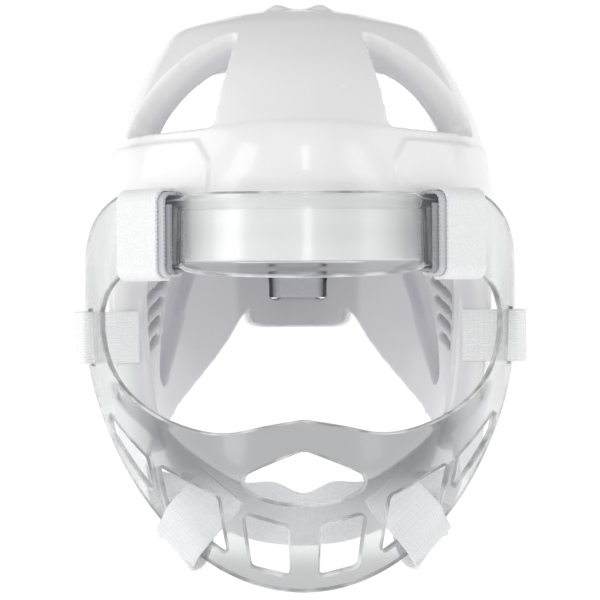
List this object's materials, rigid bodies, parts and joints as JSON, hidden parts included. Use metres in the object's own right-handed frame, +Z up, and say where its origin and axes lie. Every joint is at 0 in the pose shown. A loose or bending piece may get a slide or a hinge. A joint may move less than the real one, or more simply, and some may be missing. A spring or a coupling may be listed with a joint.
{
  "type": "karate head guard",
  "caption": "Karate head guard: dipped foam shell with crown vents and ear slots, a clear wrap-round face mask tied on by webbing straps, a slack chin strap and a rear adjusting strap.",
  "frame": {"origin": "middle of the bounding box at floor level, the guard lying on its two wings and the mask's chin", "axes": "+Z up from the floor, -Y the way the face looks, +X to the wearer's left"},
  "size_m": [0.2218, 0.2848, 0.2103],
  "materials": {
    "dipped_foam": "gloss",
    "clear_plastic": "polished",
    "white_webbing": "woven"
  },
  "bodies": {
    "root": {"foam_guard": "dipped_foam", "face_mask": "clear_plastic", "brow_strap_left": "white_webbing", "brow_strap_right": "white_webbing", "cheek_strap_left": "white_webbing", "cheek_strap_right": "white_webbing", "jaw_strap_left": "white_webbing", "jaw_strap_right": "white_webbing", "chin_strap": "white_webbing", "rear_strap": "white_webbing"}
  },
  "joints": []
}
